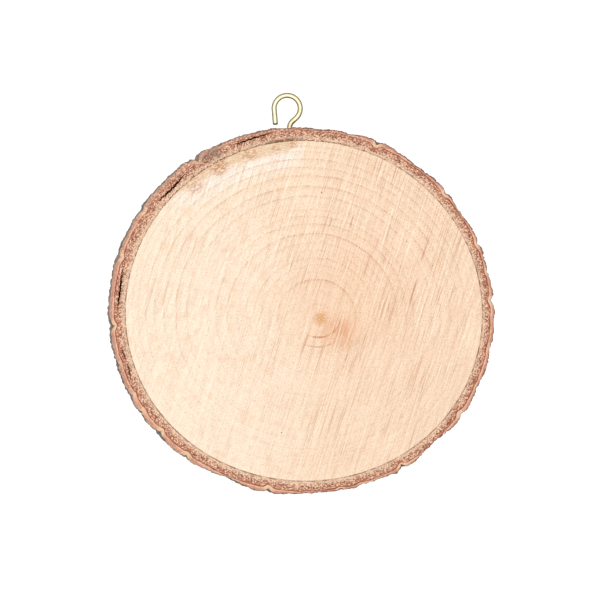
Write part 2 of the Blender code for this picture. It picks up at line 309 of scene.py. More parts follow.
class HookSettings(bpy.types.PropertyGroup):
    """Sizes and colours of the screw hook."""

    wire_radius: length_setting("Wire radius", "Half the wire's thickness", 1.05 * MM)
    ring_radius: length_setting("Ring radius", "To the middle of the wire", 5.25 * MM)
    leg_length: length_setting("Leg length", "From the ring to the wire's cut end", 6.6 * MM)
    thread_pitch: length_setting("Thread pitch", "Height of one turn of the thread", 0.9 * MM)
    brass: colour_setting("Brass", "Bright pale brass plating", 236, 226, 190)
    tarnish: colour_setting("Tarnish", "Duller places of the plating", 216, 198, 142)
    grazing: colour_setting("Grazing tint", "Olive tint of the plating seen at a slant", 206, 178, 118)
    steel: colour_setting("Steel", "Bare steel at the wire's cut end", 150, 146, 138)


class StageSettings(bpy.types.PropertyGroup):
    """The floor, the lights and the camera."""

    floor: colour_setting("Floor", "Plain pale floor", 140, 140, 140)
    floor_glow: share_setting("Floor glow", "How white the floor looks to the camera", 0.92)
    view_width: length_setting("View width", "Width of the camera's view at the front face", 240 * MM)
    camera_height: length_setting("Camera height", "Camera above the front face", 2500 * MM)
    overhead_power: FloatProperty(
        name="Overhead light", description="Power of the softbox", default=16.5, unit="POWER"
    )
    side_power: FloatProperty(
        name="Side light", description="Power of the fill light", default=8.7, unit="POWER"
    )
    sky_low: share_setting("Low sky", "Light from the horizon", 0.2)
    sky_high: share_setting("High sky", "Light from straight above", 0.725)


class Pen:
    """Adds nodes to one tree and joins them. Most calls give back the new node's output."""

    def __init__(self, tree):
        self.tree = tree

    def node(self, kind, inputs=None, **settings):
        made = self.tree.nodes.new(kind)
        for name, value in settings.items():
            setattr(made, name, value)
        for key, value in (inputs or {}).items():
            self.feed(made.inputs[key], value)
        return made

    def feed(self, socket, value):
        if isinstance(value, bpy.types.NodeSocket):
            self.tree.links.new(value, socket)
        else:
            socket.default_value = value

    def calc(self, operation, first, second=0.0, third=0.0):
        inputs = {0: first, 1: second, 2: third}
        return self.node("ShaderNodeMath", inputs, operation=operation).outputs[0]

    def chain(self, operation, values):
        result = values[0]
        for value in values[1:]:
            result = self.calc(operation, result, value)
        return result

    def product(self, *values):
        return self.chain("MULTIPLY", values)

    def total(self, *values):
        return self.chain("ADD", values)

    def minus(self, first, second):
        return self.calc("SUBTRACT", first, second)

    def over(self, first, second):
        return self.calc("DIVIDE", first, second)

    def vector(self, operation, first, second=(0.0, 0.0, 0.0)):
        made = self.node("ShaderNodeVectorMath", {0: first, 1: second}, operation=operation)
        single = operation in {"DISTANCE", "LENGTH", "DOT_PRODUCT"}
        return made.outputs["Value" if single else "Vector"]

    def scaled(self, place, scale):
        inputs = {0: place, "Scale": scale}
        return self.node("ShaderNodeVectorMath", inputs, operation="SCALE").outputs["Vector"]

    def fade(self, value, low, high, at_low=0.0, at_high=1.0):
        """Goes smoothly from at_low to at_high as the value goes from low to high."""
        inputs = {0: value, 1: low, 2: high, 3: at_low, 4: at_high}
        made = self.node("ShaderNodeMapRange", inputs, interpolation_type="SMOOTHSTEP")
        return made.outputs[0]

    def band(self, value, middle, half_width, softness=0.6):
        """1 where the value is near the middle, and 0 beyond the half width."""
        gap = self.calc("ABSOLUTE", self.minus(value, middle))
        return self.fade(gap, (1.0 - softness) * half_width, half_width, 1.0, 0.0)

    def curve(self, value, points):
        """Follows straight lines through (value, result) points, all from 0 to 1."""
        made = self.node("ShaderNodeFloatCurve", {"Value": value})
        line = made.mapping.curves[0]
        line.points[0].location = points[0]
        line.points[-1].location = points[-1]
        for point in points[1:-1]:
            line.points.new(*point)
        for point in line.points:
            point.handle_type = "VECTOR"
        made.mapping.update()
        return made.outputs[0]

    def noise(self, place, size, detail=2.0, roughness=0.5):
        """Cloudy noise from 0 to 1 whose lumps are about as big as size."""
        inputs = {"Vector": place, "Scale": 1.0 / size, "Detail": detail, "Roughness": roughness}
        return self.node("ShaderNodeTexNoise", inputs).outputs[0]

    def swing(self, place, size, height, detail=2.0):
        """Noise from -height to height."""
        return self.calc("MULTIPLY_ADD", self.noise(place, size, detail), 2.0 * height, -height)

    def blend(self, share, first, second, mode="MIX"):
        inputs = {0: share, 6: colour(first), 7: colour(second)}
        made = self.node("ShaderNodeMix", inputs, data_type="RGBA", blend_type=mode)
        return made.outputs[2]

    def dim(self, share, picture, amount):
        """Darkens the picture where share is above half, and lightens it where it is below."""
        levels = []
        for part in DIM_PARTS:
            levels.append(self.calc("MULTIPLY_ADD", share, -2.0 * amount * part, 1.0 + amount * part))
        return self.blend(1.0, picture, self.joined(*levels), "MULTIPLY")

    def joined(self, x, y, z):
        return self.node("ShaderNodeCombineXYZ", {0: x, 1: y, 2: z}).outputs[0]

    def parts(self, place):
        return self.node("ShaderNodeSeparateXYZ", {0: place}).outputs

    def bearing(self, offset):
        """The direction of an offset, from 0 at +X up to 1 after a whole turn."""
        x, y, _ = self.parts(offset)
        return self.calc("FRACT", self.over(self.calc("ARCTAN2", y, x), 2.0 * math.pi))

    def group(self, tree, **inputs):
        made = self.node("ShaderNodeGroup", node_tree=tree)
        for name, value in inputs.items():
            self.feed(made.inputs[name.replace("_", " ").capitalize()], value)
        return made.outputs

    def mark(self, name):
        """One of the mesh's own attributes, in a material."""
        return self.node("ShaderNodeAttribute", attribute_name=name).outputs["Fac"]

    def stored(self, name, kind="FLOAT"):
        """One of the mesh's own attributes, in geometry nodes."""
        return self.node("GeometryNodeInputNamedAttribute", {0: name}, data_type=kind).outputs[0]

    def store(self, geometry, name, value):
        inputs = {"Geometry": geometry, "Name": name, "Value": value}
        return self.node("GeometryNodeStoreNamedAttribute", inputs).outputs[0]

    def painted(self, geometry, material, chosen=True):
        inputs = {"Geometry": geometry, "Selection": chosen, "Material": material}
        return self.node("GeometryNodeSetMaterial", inputs).outputs[0]

    def realized(self, geometry, material):
        """The smooth-shaded geometry with its instances made real, all in one material."""
        smooth = self.node("GeometryNodeSetShadeSmooth", {0: geometry}).outputs[0]
        whole = self.node("GeometryNodeRealizeInstances", {0: smooth}).outputs[0]
        return self.painted(whole, material)


def colour(value):
    """A plain colour gets its fourth number; a socket passes through."""
    if isinstance(value, bpy.types.NodeSocket):
        return value
    return (*value, 1.0)


def flattened(pen, place):
    return pen.vector("MULTIPLY", place, (1.0, 1.0, 0.0))


def new_group(name, inputs, outputs, kind="ShaderNodeTree"):
    """(tree, pen, input sockets, output node) of an empty group with sockets named by their kind."""
    tree = bpy.data.node_groups.new(name, kind)
    for in_out, sockets in (("INPUT", inputs), ("OUTPUT", outputs)):
        for sort, labels in sockets.items():
            for label in labels:
                tree.interface.new_socket(label, in_out=in_out, socket_type="NodeSocket" + sort)
    pen = Pen(tree)
    return tree, pen, pen.node("NodeGroupInput").outputs, pen.node("NodeGroupOutput").inputs


def new_geometry_group(name, inputs):
    """The same for geometry nodes, where a geometry comes in first and goes out alone."""
    inputs = {"Geometry": ["Geometry"], **inputs}
    return new_group(name, inputs, {"Geometry": ["Geometry"]}, "GeometryNodeTree")


def shared_group(name, build):
    """The group of that name, built the first time that a material asks for it."""
    return bpy.data.node_groups.get(name) or build(name)


def saw_mark_group(name):
    """Straight marks of the band saw: fine lines, broad ones, long dark streaks, and pale streaks that
    are painted highlights.
    """
    inputs = {"Vector": ["Position"], "Float": ["Spacing"]}
    tree, pen, given, result = new_group(name, inputs, {"Float": ["Fine", "Broad", "Dark", "Pale"]})
    heading = heading_of(SAW_MARKS_DIRECTION)
    sideways = Vector((-heading.y, heading.x, 0.0))
    across = pen.over(pen.vector("DOT_PRODUCT", given["Position"], sideways), given["Spacing"])
    along = pen.over(pen.vector("DOT_PRODUCT", given["Position"], heading), given["Spacing"])
    depth = pen.over(pen.parts(given["Position"])[2], given["Spacing"])

    def lines(density, stretch, start, detail):
        wide = pen.calc("MULTIPLY_ADD", across, density, start)
        place = pen.joined(wide, pen.over(along, stretch), depth)
        return pen.noise(place, 1.0, detail, 0.6)

    pen.feed(result["Fine"], lines(2.1, 15.0, 0.0, 2.0))
    pen.feed(result["Broad"], lines(1.0, 26.0, 40.0, 2.0))
    pen.feed(result["Dark"], pen.fade(lines(2.5, 24.0, 80.0, 2.0), 0.56, 0.68))
    # Pale streaks: painted highlights along the saw marks.
    pen.feed(result["Pale"], pen.fade(lines(1.8, 24.0, 120.0, 2.0), 0.55, 0.7))
    return tree


def grain_group(name):
    """Fine grains, the clumps that they gather in, and scattered specks."""
    inputs = {"Vector": ["Position"], "Float": ["Size"]}
    tree, pen, given, result = new_group(name, inputs, {"Float": ["Fine", "Clumps", "Specks"]})
    place = pen.scaled(given["Position"], pen.over(1.0, given["Size"]))
    pen.feed(result["Fine"], pen.noise(place, 1.0, 2.0, 0.6))
    pen.feed(result["Clumps"], pen.noise(place, 3.2, 2.0))
    cells = pen.node("ShaderNodeTexVoronoi", {"Vector": place, "Scale": 0.3})
    chosen = pen.fade(pen.parts(cells.outputs["Color"])[0], 0.6, 0.7)
    dots = pen.fade(cells.outputs["Distance"], 0.08, 0.2, 1.0, 0.0)
    pen.feed(result["Specks"], pen.product(dots, chosen))
    return tree


def spot_group(name):
    """A soft-edged spot round a centre, with an uneven outline."""
    inputs = {"Vector": ["Position", "Centre"], "Float": ["Radius", "Softness"]}
    tree, pen, given, result = new_group(name, inputs, {"Float": ["Share"]})
    away = pen.vector("DISTANCE", flattened(pen, given["Position"]), given["Centre"])
    away = pen.over(away, given["Radius"])
    place = pen.scaled(given["Position"], pen.over(1.0, given["Radius"]))
    away = pen.total(away, pen.swing(place, 0.8, 0.35))
    near = pen.minus(1.0, given["Softness"])
    far = pen.total(1.0, given["Softness"])
    pen.feed(result["Share"], pen.fade(away, near, far, 1.0, 0.0))
    return tree


def new_material(name):
    """(material, pen, shader) of a new material with a plain Principled shader."""
    material = bpy.data.materials.new(name)
    material.use_nodes = True
    pen = Pen(material.node_tree)
    return material, pen, material.node_tree.nodes["Principled BSDF"]


def object_place(pen):
    return pen.node("ShaderNodeTexCoord").outputs["Object"]


def finish_surface(pen, shader, base, roughness, height, bump_distance):
    """Joins the colour, the roughness and the bump to the shader."""
    pen.feed(shader.inputs["Base Color"], base)
    pen.feed(shader.inputs["Roughness"], roughness)
    bump = pen.node("ShaderNodeBump", {"Distance": bump_distance, "Height": height})
    pen.feed(shader.inputs["Normal"], bump.outputs["Normal"])


def grain_of(pen, place, size):
    return pen.group(shared_group("Grain", grain_group), position=place, size=size)


def saw_marks_of(pen, place, spacing):
    return pen.group(shared_group("Saw marks", saw_mark_group), position=place, spacing=spacing)


def spot(pen, place, x, y, radius, softness=0.5):
    group = shared_group("Spot", spot_group)
    centre = (x, y, 0.0)
    return pen.group(group, position=place, centre=centre, radius=radius, softness=softness)["Share"]


def smudges(pen, place, table):
    """The strongest of a table's spots at each place."""
    total = 0.0
    for x, y, radius, strength in table:
        share = pen.product(spot(pen, place, x, y, radius), strength)
        total = pen.calc("MAXIMUM", total, share)
    return total


def by_direction(table, scale=1.0):
    """A table of (degrees, value) as the points of a curve, from 0 to 1 both ways."""
    points = [(direction / 360.0, value / scale) for direction, value in table]
    if points[0][0] > 0.0:
        points.insert(0, (0.0, points[0][1]))
    if points[-1][0] < 1.0:
        points.append((1.0, points[-1][1]))
    return points


def year_lines(pen, place, bearing, age, streaks):
    """(line, ripeness): how dark the year lines are, and how late in its year the wood grew."""
    uneven = pen.total(pen.swing(place, 9.0 * MM, 0.007), pen.swing(place, 1.4 * MM, 0.0025))
    age = pen.total(age, uneven)
    count = len(YEARS) + 1
    counted = [(share, (number + 1) / count) for number, (share, _) in enumerate(YEARS)]
    years = pen.product(pen.curve(age, [(0.0, 0.0), *counted, (1.0, 1.0)]), float(count))
    phase = pen.calc("FRACT", years)
    late = pen.fade(phase, 0.80, 0.97)
    early = pen.fade(phase, 0.0, 0.07, 1.0, 0.0)
    line = pen.calc("MAXIMUM", late, early)
    strength = pen.curve(age, [(0.0, 0.0), *YEARS, (1.0, 0.3)])
    show = pen.curve(bearing, by_direction(YEARS_SHOW))
    dotted = pen.fade(streaks, 0.42, 0.6, 0.15, 1.0)
    broken = pen.fade(pen.noise(place, 5.0 * MM, 2.0), 0.35, 0.6, 0.45, 1.0)
    seen = pen.product(strength, show)
    ripeness = pen.product(pen.fade(phase, 0.25, 1.0), seen)
    return pen.product(line, seen, dotted, broken), ripeness


def dark_arcs(pen, place, bearing, age, streaks):
    """Years that show up far more than the rest, over part of the round."""
    total = 0.0
    age = pen.total(age, pen.swing(place, 5.0 * MM, 0.004))
    dotted = pen.fade(streaks, 0.38, 0.56, 0.25, 1.0)
    for at, width, direction, reach, strength in DARK_ARCS:
        line = pen.band(age, at, width)
        near = pen.band(bearing, direction / 360.0, reach / 360.0)
        total = pen.calc("MAXIMUM", total, pen.product(line, near, strength))
    return pen.product(total, dotted)


def long_marks(pen, place):
    """Single dark saw marks that stand out from the rest."""
    heading = heading_of(SAW_MARKS_DIRECTION)
    sideways = Vector((-heading.y, heading.x, 0.0))
    across = pen.vector("DOT_PRODUCT", place, sideways)
    across = pen.total(across, pen.swing(place, 5.0 * MM, 0.12 * MM))
    along = pen.vector("DOT_PRODUCT", place, heading)
    total = 0.0
    for x, y, length, strength in LONG_MARKS:
        middle = Vector((x, y, 0.0))
        line = pen.band(across, middle.dot(sideways), LONG_MARK_WIDTH, 0.9)
        near = pen.band(along, middle.dot(heading), 0.5 * length)
        total = pen.calc("MAXIMUM", total, pen.product(line, near, strength))
    return total


def along_rim(pen, place, from_wood, stretch):
    """A place in which patterns reach stretch times as far towards the skin as they are wide."""
    heading = pen.vector("NORMALIZE", flattened(pen, place))
    reach = pen.calc("MULTIPLY_ADD", from_wood, 1.0 / stretch, WOOD_RADIUS)
    level = pen.joined(0.0, 0.0, pen.parts(place)[2])
    return pen.vector("ADD", pen.scaled(heading, reach), level)


def along_ring(pen, place, rim):
    """A place in which patterns lie along the years, a few times as long as they are wide."""
    return along_rim(pen, place, pen.product(rim, -1.0), 0.4)


def stain_share(pen, place, bearing, rim):
    """(stain, bleached): shares of the ochre stain under the bark and the whitish wood inside it."""
    width = pen.curve(bearing, by_direction(STAIN_WIDTHS, STAIN_SCALE))
    width = pen.product(width, STAIN_SCALE)
    uneven = pen.total(pen.swing(place, 4.0 * MM, 1.1 * MM), pen.swing(place, 1.0 * MM, 0.35 * MM))
    beyond = pen.minus(pen.total(rim, uneven), width)
    there = pen.fade(width, 0.1 * MM, 2.0 * MM)
    stain = pen.product(pen.fade(beyond, -1.5 * MM, 0.8 * MM, 1.0, 0.0), there)
    bleached = pen.product(pen.fade(beyond, 3.0 * MM, 10.0 * MM, 1.0, 0.0), there)
    return stain, bleached


def sawn_alder_material(look):
    """Pale end grain with year lines, saw marks, the pith and a stain under the bark."""
    material, pen, shader = new_material("Sawn alder")
    place = object_place(pen)
    age = pen.mark("age")
    from_pith = flattened(pen, pen.vector("SUBTRACT", place, PITH))
    bearing = pen.bearing(from_pith)
    rim_bearing = pen.bearing(place)
    saw = saw_marks_of(pen, place, look.mark_spacing)
    grain = grain_of(pen, place, look.grit_size)

    side = pen.total(pen.parts(place)[0], pen.swing(place, 30.0 * MM, 24.0 * MM))
    base = pen.blend(pen.fade(side, -60.0 * MM, 45.0 * MM), look.sapwood, look.heartwood)
    from_middle = pen.vector("DISTANCE", flattened(pen, place), WARM_MIDDLE)
    from_middle = pen.total(from_middle, pen.swing(place, 14.0 * MM, 9.0 * MM))
    warm = pen.fade(from_middle, 4.0 * MM, 38.0 * MM, 0.75, 0.0)
    base = pen.blend(warm, base, look.middle)

    blush = spot(pen, place, *BLUSH_SPOT)
    blush = pen.product(blush, pen.fade(saw["Broad"], 0.35, 0.6, 0.25, 0.9))
    base = pen.blend(blush, base, look.blush)

    rim = pen.mark("rim")
    streaks = pen.noise(along_ring(pen, place, rim), 1.3 * MM, 3.0, 0.6)
    stain, bleached = stain_share(pen, place, rim_bearing, rim)
    base = pen.blend(pen.product(bleached, 0.8), base, look.bleached)
    greyish = pen.product(bleached, pen.fade(streaks, 0.56, 0.68, 0.0, 0.35))
    base = pen.blend(greyish, base, look.greyed)

    line, ripeness = year_lines(pen, place, bearing, age, saw["Fine"])
    base = pen.blend(pen.product(ripeness, 0.2 * look.year_strength), base, look.year_tan)
    base = pen.blend(pen.product(line, 0.85 * look.year_strength), base, look.year_tan)

    mottles = pen.fade(pen.noise(place, 4.5 * MM, 3.0, 0.6), 0.5, 0.68, 0.0, 0.45)
    base = pen.blend(mottles, base, look.middle)
    patches = pen.fade(pen.noise(place, 16.0 * MM, 2.0), 0.35, 0.65, 0.3, 1.0)
    plain = pen.fade(side, -50.0 * MM, 30.0 * MM, 0.45, 1.0)
    plain = pen.product(plain, pen.fade(pen.parts(place)[1], -40.0 * MM, -5.0 * MM, 0.7, 1.0))
    dark = pen.product(saw["Dark"], patches, plain, look.mark_strength)
    base = pen.blend(dark, base, look.mark_tan)
    # The pale saw marks paint highlights onto the wood's colour.
    pale = pen.product(saw["Pale"], plain, 0.6 * look.mark_strength)
    base = pen.blend(pale, base, look.mark_highlight)
    base = pen.dim(saw["Broad"], base, 0.15 * look.mark_strength)
    fine = pen.calc("MULTIPLY_ADD", pen.minus(saw["Fine"], 0.5), plain, 0.5)
    base = pen.dim(fine, base, 0.22 * look.mark_strength)
    pores = pen.product(pen.fade(grain["Fine"], 0.52, 0.7), plain, 0.32)
    base = pen.blend(pores, base, look.mark_tan)
    base = pen.dim(grain["Fine"], base, 0.24)
    base = pen.dim(grain["Clumps"], base, 0.08)
    base = pen.blend(pen.product(grain["Specks"], 0.4), base, look.mark_tan)

    torn = pen.product(long_marks(pen, place), pen.fade(saw["Fine"], 0.42, 0.56, 0.2, 1.0))
    arcs = pen.calc("MAXIMUM", dark_arcs(pen, place, bearing, age, saw["Fine"]), torn)
    base = pen.blend(pen.product(arcs, 0.9), base, look.smudge)
    heart = spot(pen, place, *PITH_SPOT)
    heart = pen.product(heart, pen.fade(grain["Fine"], 0.36, 0.56, 0.35, 1.0))
    base = pen.blend(heart, base, look.pith)

    base = pen.blend(pen.product(stain, pen.fade(streaks, 0.3, 0.6, 0.3, 0.95)), base, look.stain)
    brown = pen.product(stain, pen.fade(streaks, 0.55, 0.7, 0.0, 0.35))
    gathered = pen.product(smudges(pen, place, BROWN_SMUDGES), pen.fade(streaks, 0.4, 0.58, 0.05, 0.8))
    base = pen.blend(pen.calc("MAXIMUM", brown, gathered), base, look.smudge)
    dots = 0.0
    for x, y, radius in SPECKS:
        dots = pen.calc("MAXIMUM", dots, spot(pen, place, x, y, radius, 0.4))
    base = pen.blend(pen.product(dots, 0.8), base, look.speck)

    roughness = pen.fade(saw["Fine"], 0.3, 0.7, 0.62, 0.74)
    height = pen.total(saw["Fine"], saw["Broad"])
    finish_surface(pen, shader, base, roughness, height, 0.03 * MM)
    return material


def inner_bark(pen, look, place, grain, from_wood, share, stained):
    """Cream and brown grains, with a rust-red band on the outside that reaches in like fingers."""
    tone = pen.calc("MULTIPLY_ADD", grain["Clumps"], 0.35, grain["Fine"])
    tone = pen.calc("MULTIPLY_ADD", share, 0.1, tone)
    pale = pen.blend(pen.fade(share, 0.3, 0.8), look.inner_pale, look.inner_tan)
    outwards = pen.fade(share, 0.1, 0.7, 0.45, 1.2)
    inner = pen.blend(pen.product(pen.fade(tone, 0.66, 0.79), outwards), pale, look.inner_brown)
    fingers = along_rim(pen, place, from_wood, 1.3)
    edge = pen.total(pen.swing(fingers, 1.1 * MM, 0.42), pen.swing(fingers, 5.0 * MM, 0.3))
    edge = pen.calc("MULTIPLY_ADD", pen.mark("split"), 0.3, edge)
    rust = pen.fade(pen.total(share, edge), 0.66, 0.86)
    rust = pen.product(rust, pen.fade(grain["Fine"], 0.36, 0.56, 0.35, 1.0))
    rust = pen.product(rust, pen.calc("MULTIPLY_ADD", stained, -0.6, 1.0))
    return pen.blend(rust, inner, look.rust)


def outer_bark(pen, look, place, grain, from_wood, to_skin):
    """Salmon layers that darken towards the skin, cream where a split comes near."""
    layers = pen.noise(along_rim(pen, place, from_wood, 0.3), 1.6 * MM, 2.0)
    outer = pen.blend(pen.fade(layers, 0.35, 0.65), look.outer, look.outer_red)
    mottles = pen.fade(pen.noise(place, 1.1 * MM, 3.0, 0.6), 0.5, 0.66, 0.0, 0.5)
    outer = pen.blend(mottles, outer, look.cork)
    near_skin = pen.fade(to_skin, 0.3 * MM, 1.3 * MM, 0.7, 0.0)
    outer = pen.blend(near_skin, outer, look.outer_red)
    outer = pen.blend(pen.product(pen.mark("split"), 0.85), outer, look.split)
    return pen.dim(grain["Fine"], outer, 0.35)


def sawn_bark_material(look):
    """Bark across the grain: inner bark, a dark line, a pale rind, outer bark and its cork skin, with
    painted shade inside the slits.
    """
    material, pen, shader = new_material("Sawn alder bark")
    place = object_place(pen)
    grain = grain_of(pen, place, look.grain_size)
    wobble = pen.total(pen.swing(place, 2.4 * MM, 0.3 * MM), pen.swing(place, 0.7 * MM, 0.12 * MM))
    from_wood = pen.mark("from_wood")
    to_skin = pen.mark("to_skin")
    to_cork = pen.mark("past_cork")
    past_cork = pen.total(to_cork, wobble)
    share = pen.over(from_wood, pen.minus(from_wood, to_cork))

    stained = pen.band(pen.bearing(place), STAINED_BARK / 360.0, STAINED_BARK_REACH / 360.0)
    inner = inner_bark(pen, look, place, grain, from_wood, share, stained)
    outer = outer_bark(pen, look, place, grain, from_wood, to_skin)
    is_outer = pen.fade(past_cork, -0.12 * MM, 0.12 * MM)
    base = pen.blend(is_outer, inner, outer)
    crumbly = pen.calc("MULTIPLY_ADD", stained, 0.7, pen.calc("MULTIPLY_ADD", is_outer, -0.85, 1.0))
    crumbly = pen.calc("MINIMUM", crumbly, 1.0)
    crumbly = pen.product(crumbly, pen.fade(share, 0.1, 0.7, 0.5, 1.2))
    crumbs = grain_of(pen, along_rim(pen, place, from_wood, 0.5), 0.9 * MM)["Fine"]
    curls = pen.product(pen.band(crumbs, 0.56, 0.045), crumbly, 0.9)
    base = pen.blend(curls, base, look.line)
    crumb = pen.product(pen.fade(crumbs, 0.36, 0.48, 0.85, 0.0), crumbly)
    base = pen.blend(crumb, base, look.inner_pale)
    patchy = pen.noise(place, 3.5 * MM, 2.0)
    clear = pen.calc("MULTIPLY_ADD", stained, -0.75, 1.0)
    rind = pen.band(past_cork, 0.34 * MM, 0.34 * MM)
    rind = pen.product(rind, pen.fade(patchy, 0.4, 0.6, 0.15, 0.9), clear)
    base = pen.blend(rind, base, look.rind)
    line = pen.band(past_cork, -0.12 * MM, 0.3 * MM)
    line = pen.product(line, pen.fade(patchy, 0.4, 0.62, 0.95, 0.5), clear)
    base = pen.blend(line, base, look.line)

    uneven = pen.product(pen.swing(place, 0.9 * MM, 1.3 * MM), pen.fade(stained, 0.0, 0.5, 0.25, 1.0))
    ragged = pen.total(from_wood, uneven)
    base = pen.blend(pen.fade(ragged, -0.15 * MM, 0.1 * MM, 1.0, 0.0), base, look.split)
    seam = pen.band(ragged, 0.22 * MM, 0.36 * MM, 0.8)
    plain = pen.fade(pen.noise(place, 3.0 * MM, 3.0), 0.38, 0.62, 0.15, 0.9)
    seam = pen.product(seam, pen.calc("MAXIMUM", plain, pen.fade(stained, 0.4, 0.9)))
    base = pen.blend(seam, base, look.seam)
    streaks = pen.noise(along_rim(pen, place, from_wood, 0.35), 1.5 * MM, 3.0, 0.6)
    dark = pen.product(smudges(pen, place, DARK_SMUDGES), pen.fade(streaks, 0.34, 0.52, 0.3, 1.0))
    dark = pen.product(dark, pen.fade(from_wood, 0.7 * MM, 1.6 * MM, 1.0, 0.0))
    base = pen.blend(dark, base, look.seam)
    grey = pen.product(smudges(pen, place, GREY_SMUDGES), pen.fade(streaks, 0.36, 0.6, 0.3, 1.0))
    base = pen.blend(grey, base, look.grey)
    thickness = pen.total(pen.swing(place, 2.2 * MM, 0.45 * MM), pen.swing(place, 0.8 * MM, 0.25 * MM))
    skin = pen.fade(pen.total(thickness, to_skin), 0.2 * MM, 0.5 * MM, 1.0, 0.0)
    edge = pen.blend(pen.fade(pen.parts(place)[0], -45.0 * MM, 0.0), look.cork, look.rubbed)
    base = pen.blend(skin, base, edge)
    # Painted shade: the insides of the deep, narrow slits are painted in the dark line colour.
    base = pen.blend(pen.mark("slit_shade"), base, look.line)

    saw = saw_marks_of(pen, place, 1.1 * MM)
    base = pen.dim(saw["Fine"], base, 0.14)
    height = pen.total(grain["Fine"], grain["Clumps"])
    roughness = pen.fade(grain["Fine"], 0.3, 0.7, 0.75, 0.9)
    finish_surface(pen, shader, base, roughness, height, 0.06 * MM)
    return material


def bark_skin_material(look):
    """The outside of the bark: grey-brown cork with dark cracks, lichen and rubbed red-brown places."""
    material, pen, shader = new_material("Alder bark skin")
    place = object_place(pen)
    upright = pen.vector("MULTIPLY", place, (1.0, 1.0, 0.4))
    grain = grain_of(pen, upright, 0.6 * MM)
    base = pen.blend(pen.fade(grain["Clumps"], 0.35, 0.65), look.cork, look.cork_dark)
    rubbed = pen.fade(pen.noise(upright, 5.0 * MM, 4.0), 0.5, 0.64, 0.0, 0.7)
    base = pen.blend(rubbed, base, look.rubbed)
    left = pen.fade(pen.parts(place)[0], 20.0 * MM, -50.0 * MM, 0.15, 0.8)
    film = pen.product(left, pen.fade(pen.noise(place, 3.5 * MM, 4.0), 0.46, 0.62))
    base = pen.blend(film, base, look.lichen)
    base = pen.blend(pen.mark("crack"), base, look.crack)
    base = pen.dim(grain["Fine"], base, 0.3)
    base = pen.blend(pen.product(grain["Specks"], 0.6), base, look.fleck)
    roughness = pen.fade(grain["Fine"], 0.3, 0.7, 0.8, 0.95)
    finish_surface(pen, shader, base, roughness, grain["Fine"], 0.12 * MM)
    return material


def lenticel_material(look):
    """Pale corky warts, mottled with the darker cork colour."""
    material, pen, shader = new_material("Lenticel cork")
    place = object_place(pen)
    grain = grain_of(pen, place, 0.25 * MM)
    base = pen.blend(pen.noise(place, 4.0 * MM, 2.0), look.wart, look.cork)
    base = pen.dim(grain["Fine"], base, 0.25)
    roughness = pen.fade(grain["Fine"], 0.3, 0.7, 0.8, 0.95)
    finish_surface(pen, shader, base, roughness, grain["Fine"], 0.05 * MM)
    return material


def brass_material(look):
    """Bright pale plating, a little uneven, with bare steel at the cut end."""
    material, pen, shader = new_material("Brass plated wire")
    place = object_place(pen)
    along = pen.mark("along")
    patches = pen.noise(place, 2.5 * MM, 3.0)
    base = pen.blend(pen.fade(patches, 0.45, 0.7, 0.0, 0.6), look.brass, look.tarnish)
    tip = pen.fade(along, 0.5 * MM, 1.0 * MM, 1.0, 0.0)
    base = pen.blend(tip, base, look.steel)
    shader.inputs["Metallic"].default_value = 1.0
    shader.inputs["Specular Tint"].default_value = (*look.grazing, 1.0)
    scratches = pen.noise(pen.vector("MULTIPLY", place, (1.0, 1.0, 3.0)), 0.25 * MM, 2.0)
    roughness = pen.fade(patches, 0.3, 0.7, 0.18, 0.27)
    finish_surface(pen, shader, base, roughness, scratches, 0.003 * MM)
    return material


def new_object(name, data):
    made = bpy.data.objects.new(name, data)
    bpy.context.scene.collection.objects.link(made)
    return made


def turn_between(first, second):
    """How far apart two directions are, from 0 to 180 degrees."""
    return abs((first - second + 180.0) % 360.0 - 180.0)


def rolled(radius, waves, angle):
    for count, height, direction in waves:
        radius += height * math.cos(count * math.radians(angle - direction))
    return radius


def hump(away, reach):
    return math.exp(-((away / reach) ** 2))


def skin_radius(angle, drop=0.0):
    """From the middle to the skin, at a share of the way down from the front to the back."""
    radius = rolled(SKIN_RADIUS, SKIN_WAVES, angle)
    for direction, lip, notch in SPLITS:
        wander = SPLIT_WANDER * drop * math.sin(direction + 4.0 * drop)
        away = turn_between(angle, direction + wander)
        if away < 3.0 * LIP_REACH:
            radius += lip * hump(away, LIP_REACH) - notch * math.exp(-away / NOTCH_REACH)
    return radius


def split_share(angle):
    """How close a direction is to a deep split, from 0 to 1."""
    share = 0.0
    for direction, _, notch in SPLITS:
        share = max(share, notch / DEEP_NOTCH * hump(turn_between(angle, direction), NOTCH_REACH))
    return min(1.0, share)


def cork_radius(angle):
    radius = rolled(CORK_RADIUS, CORK_WAVES, angle)
    for direction, _, notch in SPLITS:
        away = turn_between(angle, direction)
        radius -= CORK_NOTCH_SHARE * notch * hump(away, NOTCH_REACH)
    return radius


def wood_radius(angle):
    return rolled(WOOD_RADIUS, WOOD_WAVES, angle)


def heading_of(angle):
    turned = math.radians(angle)
    return Vector((math.cos(turned), math.sin(turned), 0.0))


def slant_shift(drop):
    """How far a level is shifted sideways, from the middle of the slice."""
    reach = (drop - 0.5) * THICKNESS * math.tan(math.radians(SAW_SLANT))
    return heading_of(SAW_SLANT_DIRECTION) * reach


def slit_line(angle):
    """(radius, half width, depth) of the line that the slits follow, at a direction."""
    radius = cork_radius(angle) - SLIT_BESIDE_CORK
    half_width, depth = 0.0, 0.0
    for first, last, first_radius, last_radius, sag, width in SLITS:
        along = (angle - first) / (last - first)
        inside = min(1.0, max(0.0, along))
        own = first_radius + (last_radius - first_radius) * inside
        own -= sag * math.sin(math.pi * inside)
        if along == inside:
            turns = [2.0 * math.pi * angle / period for period in SLIT_JAG_PERIODS]
            own += SLIT_JAG * sum(math.sin(turn) for turn in turns)
        beyond = abs(along - inside) * (last - first)
        radius += (own - radius) * max(0.0, 1.0 - beyond / SLIT_FADE)
        if 0.0 < along < 1.0:
            half_width = 0.5 * width * math.sin(math.pi * along)
            depth = SLIT_DEPTH * math.sin(math.pi * along) ** 0.5
    return radius, half_width, depth


